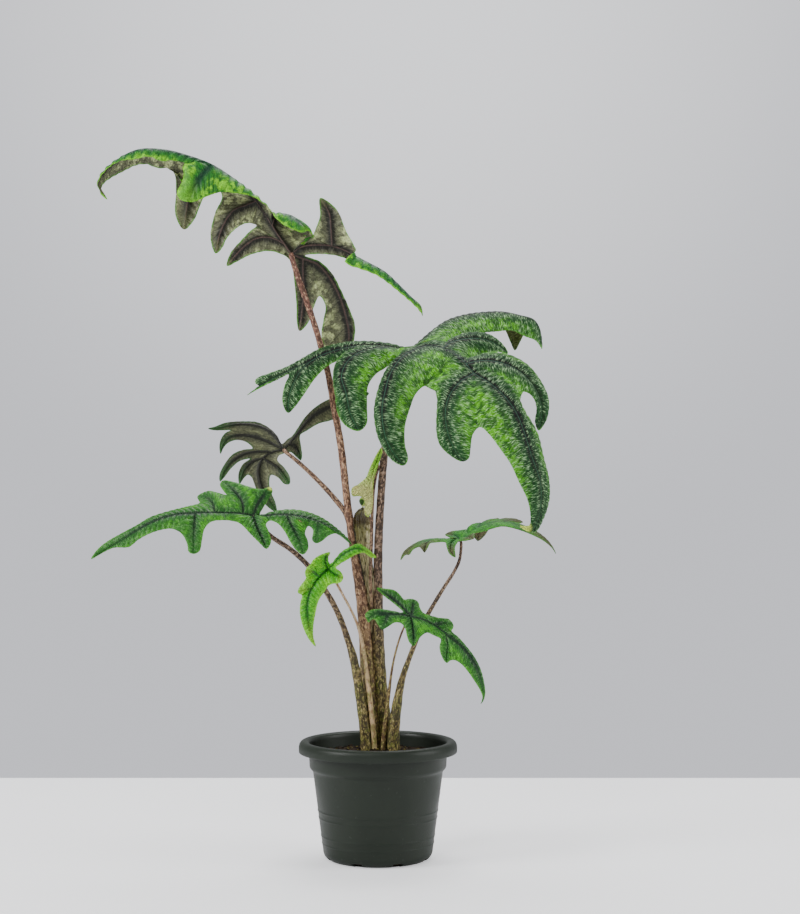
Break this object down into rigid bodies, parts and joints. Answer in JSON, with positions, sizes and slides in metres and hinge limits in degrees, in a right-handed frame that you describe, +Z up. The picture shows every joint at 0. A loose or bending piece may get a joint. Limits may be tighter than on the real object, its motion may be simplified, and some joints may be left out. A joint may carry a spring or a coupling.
{
  "type": "potted aroid house plant",
  "caption": "Potted Alocasia tandurusa with deeply lobed arrow-shaped leaves on mottled stalks in a round plastic nursery pot.",
  "frame": {"origin": "centre of the pot's flat underside", "axes": "+Z up along the pot's axis, +X to the right and +Y to the back as the plant is seen from its front"},
  "size_m": [0.5488, 0.1999, 0.8503],
  "materials": {
    "pot_plastic": "satin moulded polypropylene",
    "potting_mix": "damp crumbly bark and peat mix, rough",
    "blade_underside": "dull leaf underside, grey-brown to olive",
    "blade_velvet": "velvety hairy leaf, dark green",
    "blade_green": "satin leaf, mid green",
    "blade_lime": "satin young leaf, bright lime",
    "blade_new": "satin unrolling leaf, pale lime to yellow",
    "stalk_pink": "satin stalk, pinkish brown with dark mottling",
    "stalk_brown": "satin stalk, dark brown mottling",
    "stalk_pale": "satin stalk, cream and tan",
    "sheath_papery": "dry papery membrane, olive brown"
  },
  "bodies": {
    "root": {"pot": "pot_plastic", "potting_mix": "potting_mix", "sheath": "sheath_papery", "blade_top": "blade_underside", "blade_velvet": "blade_velvet", "blade_rear": "blade_underside", "blade_left": "blade_green", "blade_lime": "blade_lime", "blade_right": "blade_green", "blade_front": "blade_green", "blade_new": "blade_new", "stalk_top": "stalk_pink", "stalk_velvet": "stalk_brown", "stalk_rear": "stalk_pink", "stalk_left": "stalk_brown", "stalk_lime": "stalk_pale", "stalk_right": "stalk_brown", "stalk_front": "stalk_pink", "stalk_new": "stalk_brown"}
  },
  "joints": []
}
